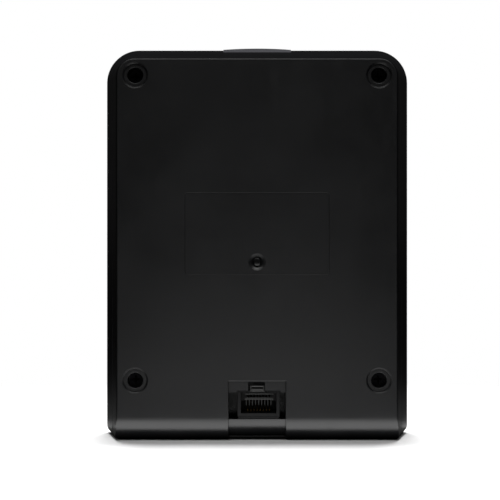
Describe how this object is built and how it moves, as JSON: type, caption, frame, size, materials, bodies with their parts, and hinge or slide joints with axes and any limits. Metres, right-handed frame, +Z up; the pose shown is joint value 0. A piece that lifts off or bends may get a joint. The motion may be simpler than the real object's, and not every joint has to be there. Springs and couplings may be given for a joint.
{
  "type": "fingerprint scanner terminal",
  "caption": "Upright desk or wall access terminal with a fingerprint window, a display, a push-button keypad and a network jack in its flat back.",
  "frame": {"origin": "middle of the flat base, in the middle of the overall depth", "axes": "+Z up, the display and keys face -Y, the back with the network jack faces +Y, +X is the user's right"},
  "size_m": [0.1028, 0.0366, 0.1316],
  "materials": {
    "case": "satin black moulded plastic with a fine spark texture",
    "screw_steel": "black oxide steel",
    "small_screw": "zinc plated",
    "window": "glossy tinted acrylic",
    "display_glass": "dark glass over polarizer",
    "light_guide": "clear acrylic light guide",
    "frame_plastic": "black moulded plastic",
    "flex": "polyimide film",
    "silicone": "translucent grey silicone",
    "board": "green solder mask on glass-epoxy board",
    "guide_plastic": "smoky grey-violet translucent plastic",
    "prism_glass": "polished optical glass",
    "lens_barrel": "black barrel",
    "lamp": "diffusing lamp package",
    "jack_plastic": "black glass-filled nylon",
    "contact_gold": "gold-plated spring wire",
    "comb_plastic": "dark grey nylon",
    "plunger_plastic": "polished black acetal",
    "spring_steel": "drawn spring wire",
    "switch_plastic": "black nylon",
    "chip": "black epoxy package",
    "capacitor_can": "aluminium can",
    "ferrite": "grey ferrite",
    "connector_plastic": "ivory nylon",
    "cell_steel": "nickel-plated steel",
    "speaker_frame": "black frame with a paper-film cone",
    "mesh_cloth": "woven black mesh",
    "lead_insulation": "soft vinyl insulation",
    "light_pipe": "clear acrylic",
    "key_plastic": "dark grey key plastic with light legends"
  },
  "bodies": {
    "housing": {"rear_cover": "case", "front_housing": "case", "case_screws": "screw_steel", "display_window": "window", "lcd_panel": "display_glass", "lcd_backlight": "light_guide", "lcd_frame": "frame_plastic", "lcd_screws": "small_screw", "lcd_flex": "flex", "keypad_mat": "silicone", "keypad_board": "board", "keypad_screws": "small_screw", "keypad_flex": "flex", "finger_guide": "guide_plastic", "sensor_prism": "prism_glass", "sensor_housing": "frame_plastic", "sensor_lens": "lens_barrel", "sensor_board": "board", "sensor_leds": "lamp", "sensor_screws": "small_screw", "sensor_flex": "flex", "main_board": "board", "main_board_screws": "small_screw", "rj45_jack": "jack_plastic", "rj45_contacts": "contact_gold", "rj45_comb": "comb_plastic", "tamper_spring": "spring_steel", "tamper_switch": "switch_plastic", "processor": "chip", "memory_chips": "chip", "network_transformer": "chip", "capacitors": "capacitor_can", "power_inductor": "ferrite", "board_connectors": "connector_plastic", "battery_holder": "connector_plastic", "coin_cell": "cell_steel", "speaker": "speaker_frame", "speaker_mesh": "mesh_cloth", "speaker_leads": "lead_insulation", "light_pipes": "light_pipe", "indicator_board": "board", "indicator_leds": "lamp"},
    "tamper": {"tamper_plunger": "plunger_plastic"},
    "key_1_body": {"key_1": "key_plastic"},
    "key_2_body": {"key_2": "key_plastic"},
    "key_3_body": {"key_3": "key_plastic"},
    "key_cancel_body": {"key_cancel": "key_plastic"},
    "key_4_body": {"key_4": "key_plastic"},
    "key_5_body": {"key_5": "key_plastic"},
    "key_6_body": {"key_6": "key_plastic"},
    "key_menu_body": {"key_menu": "key_plastic"},
    "key_7_body": {"key_7": "key_plastic"},
    "key_8_body": {"key_8": "key_plastic"},
    "key_9_body": {"key_9": "key_plastic"},
    "key_up_body": {"key_up": "key_plastic"},
    "key_bell_body": {"key_bell": "key_plastic"},
    "key_0_body": {"key_0": "key_plastic"},
    "key_ok_body": {"key_ok": "key_plastic"},
    "key_down_body": {"key_down": "key_plastic"}
  },
  "joints": [
    {"name": "key_1_press", "type": "slide", "parent": "housing", "child": "key_1_body", "axis": [0, 1, 0], "range_m": [0, 0.0008], "stiffness_N_per_m": 600, "springref_m": -0.0004, "deforming": ["keypad_mat"]},
    {"name": "key_2_press", "type": "slide", "parent": "housing", "child": "key_2_body", "axis": [0, 1, 0], "range_m": [0, 0.0008], "stiffness_N_per_m": 600, "springref_m": -0.0004, "deforming": ["keypad_mat"]},
    {"name": "key_3_press", "type": "slide", "parent": "housing", "child": "key_3_body", "axis": [0, 1, 0], "range_m": [0, 0.0008], "stiffness_N_per_m": 600, "springref_m": -0.0004, "deforming": ["keypad_mat"]},
    {"name": "key_cancel_press", "type": "slide", "parent": "housing", "child": "key_cancel_body", "axis": [0, 1, 0], "range_m": [0, 0.0008], "stiffness_N_per_m": 600, "springref_m": -0.0004, "deforming": ["keypad_mat"]},
    {"name": "key_4_press", "type": "slide", "parent": "housing", "child": "key_4_body", "axis": [0, 1, 0], "range_m": [0, 0.0008], "stiffness_N_per_m": 600, "springref_m": -0.0004, "deforming": ["keypad_mat"]},
    {"name": "key_5_press", "type": "slide", "parent": "housing", "child": "key_5_body", "axis": [0, 1, 0], "range_m": [0, 0.0008], "stiffness_N_per_m": 600, "springref_m": -0.0004, "deforming": ["keypad_mat"]},
    {"name": "key_6_press", "type": "slide", "parent": "housing", "child": "key_6_body", "axis": [0, 1, 0], "range_m": [0, 0.0008], "stiffness_N_per_m": 600, "springref_m": -0.0004, "deforming": ["keypad_mat"]},
    {"name": "key_menu_press", "type": "slide", "parent": "housing", "child": "key_menu_body", "axis": [0, 1, 0], "range_m": [0, 0.0008], "stiffness_N_per_m": 600, "springref_m": -0.0004, "deforming": ["keypad_mat"]},
    {"name": "key_7_press", "type": "slide", "parent": "housing", "child": "key_7_body", "axis": [0, 1, 0], "range_m": [0, 0.0008], "stiffness_N_per_m": 600, "springref_m": -0.0004, "deforming": ["keypad_mat"]},
    {"name": "key_8_press", "type": "slide", "parent": "housing", "child": "key_8_body", "axis": [0, 1, 0], "range_m": [0, 0.0008], "stiffness_N_per_m": 600, "springref_m": -0.0004, "deforming": ["keypad_mat"]},
    {"name": "key_9_press", "type": "slide", "parent": "housing", "child": "key_9_body", "axis": [0, 1, 0], "range_m": [0, 0.0008], "stiffness_N_per_m": 600, "springref_m": -0.0004, "deforming": ["keypad_mat"]},
    {"name": "key_up_press", "type": "slide", "parent": "housing", "child": "key_up_body", "axis": [0, 1, 0], "range_m": [0, 0.0008], "stiffness_N_per_m": 600, "springref_m": -0.0004, "deforming": ["keypad_mat"]},
    {"name": "key_bell_press", "type": "slide", "parent": "housing", "child": "key_bell_body", "axis": [0, 1, 0], "range_m": [0, 0.0008], "stiffness_N_per_m": 600, "springref_m": -0.0004, "deforming": ["keypad_mat"]},
    {"name": "key_0_press", "type": "slide", "parent": "housing", "child": "key_0_body", "axis": [0, 1, 0], "range_m": [0, 0.0008], "stiffness_N_per_m": 600, "springref_m": -0.0004, "deforming": ["keypad_mat"]},
    {"name": "key_ok_press", "type": "slide", "parent": "housing", "child": "key_ok_body", "axis": [0, 1, 0], "range_m": [0, 0.0008], "stiffness_N_per_m": 600, "springref_m": -0.0004, "deforming": ["keypad_mat"]},
    {"name": "key_down_press", "type": "slide", "parent": "housing", "child": "key_down_body", "axis": [0, 1, 0], "range_m": [0, 0.0008], "stiffness_N_per_m": 600, "springref_m": -0.0004, "deforming": ["keypad_mat"]},
    {"name": "tamper_press", "type": "slide", "parent": "housing", "child": "tamper", "axis": [0, -1, 0], "range_m": [0, 0.0015], "stiffness_N_per_m": 300, "springref_m": -0.001, "deforming": ["tamper_spring"]}
  ]
}
